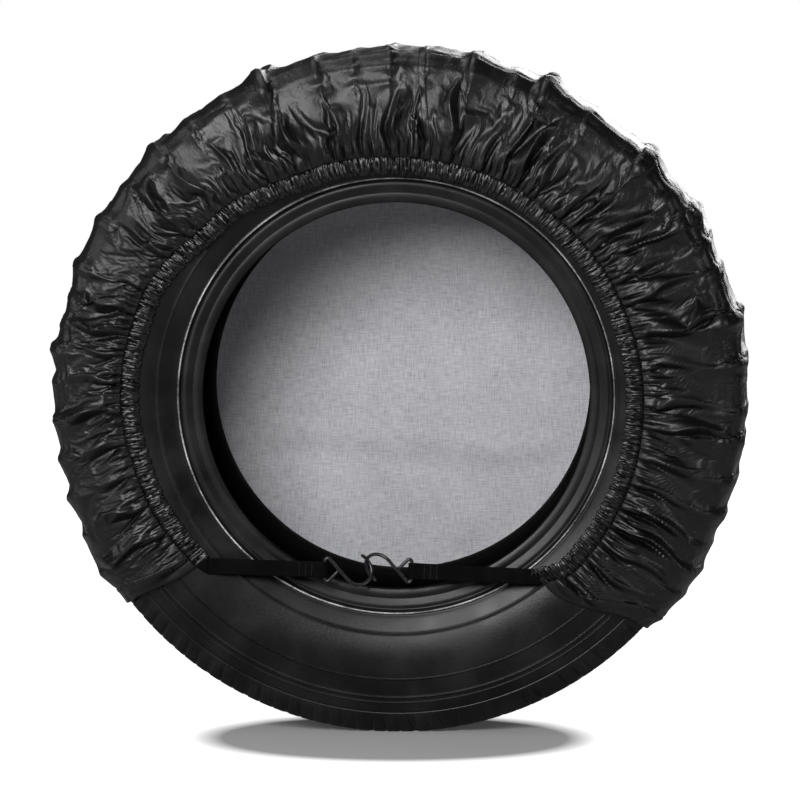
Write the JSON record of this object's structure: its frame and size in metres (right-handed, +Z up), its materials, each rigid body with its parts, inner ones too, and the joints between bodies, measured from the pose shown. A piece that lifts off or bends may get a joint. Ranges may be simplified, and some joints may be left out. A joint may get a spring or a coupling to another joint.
{
  "type": "wheel cover set",
  "caption": "Gathered vinyl wheel cover with a grey backing, drawn over a standing tyre by an elastic hem and two hooked straps.",
  "frame": {"origin": "centre of the rim seat: on the wheel axis, midway between the two beads", "axes": "+Y along the wheel axis from the hooked back to the closed face, +Z up, +X to the right as seen from the back"},
  "size_m": [0.726, 0.2344, 0.7122],
  "materials": {
    "tyre_rubber": "matt black tyre rubber",
    "belt_steel": "woven steel cord, sealed in rubber",
    "ply_rubber": "rubbered cord ply",
    "bead_wire": "bronze-coated bead wire, sealed in rubber",
    "vinyl": "glossy black vinyl with a fine pebble grain",
    "lining": "grey woven backing, slightly mottled",
    "elastic": "flat black ribbed elastic webbing",
    "thread": "black bonded polyester thread",
    "hook_wire": "dark coated steel wire, semi-gloss"
  },
  "bodies": {
    "tyre": {"tread_band": "tyre_rubber", "steel_belt": "belt_steel", "body_ply": "ply_rubber", "sidewall_rear": "tyre_rubber", "sidewall_front": "tyre_rubber", "bead_core_rear": "bead_wire", "bead_core_front": "bead_wire"},
    "cover": {"face_panel": "vinyl", "face_lining": "lining", "face_welt": "vinyl", "face_edge_hem": "vinyl", "side_panel_left": "vinyl", "side_panel_right": "vinyl", "joining_seam": "vinyl", "end_hem_left": "vinyl", "end_hem_right": "vinyl", "hem_channel_left": "vinyl", "hem_channel_right": "vinyl", "hem_elastic": "elastic", "elastic_end_left": "elastic", "elastic_end_right": "elastic"},
    "strap_left": {"strap_left": "elastic", "loop_stitching_left": "thread"},
    "strap_right": {"strap_right": "elastic", "loop_stitching_right": "thread"},
    "hook_left": {"hook_left": "hook_wire"},
    "hook_right": {"hook_right": "hook_wire"}
  },
  "joints": [
    {"name": "cover_turn", "type": "hinge", "parent": "tyre", "child": "cover", "pos_m": [0, 0, 0], "axis": [0, 1, 0], "range_deg": [-8, 8]},
    {"name": "strap_left_swing", "type": "hinge", "parent": "cover", "child": "strap_left", "pos_m": [-0.1945, -0.114, -0.1746], "axis": [-0.0287, 0, -0.9996], "range_deg": [0, 105]},
    {"name": "strap_right_swing", "type": "hinge", "parent": "cover", "child": "strap_right", "pos_m": [0.1408, -0.114, -0.1844], "axis": [0.0434, 0, 0.9991], "range_deg": [0, 105]},
    {"name": "hook_left_swing", "type": "hinge", "parent": "strap_left", "child": "hook_left", "pos_m": [-0.0728, -0.1124, -0.1781], "axis": [-0.0287, 0, -0.9996], "range_deg": [0, 118]},
    {"name": "hook_right_swing", "type": "hinge", "parent": "strap_right", "child": "hook_right", "pos_m": [0.0166, -0.1124, -0.179], "axis": [0.0434, 0, 0.9991], "range_deg": [0, 118]}
  ]
}
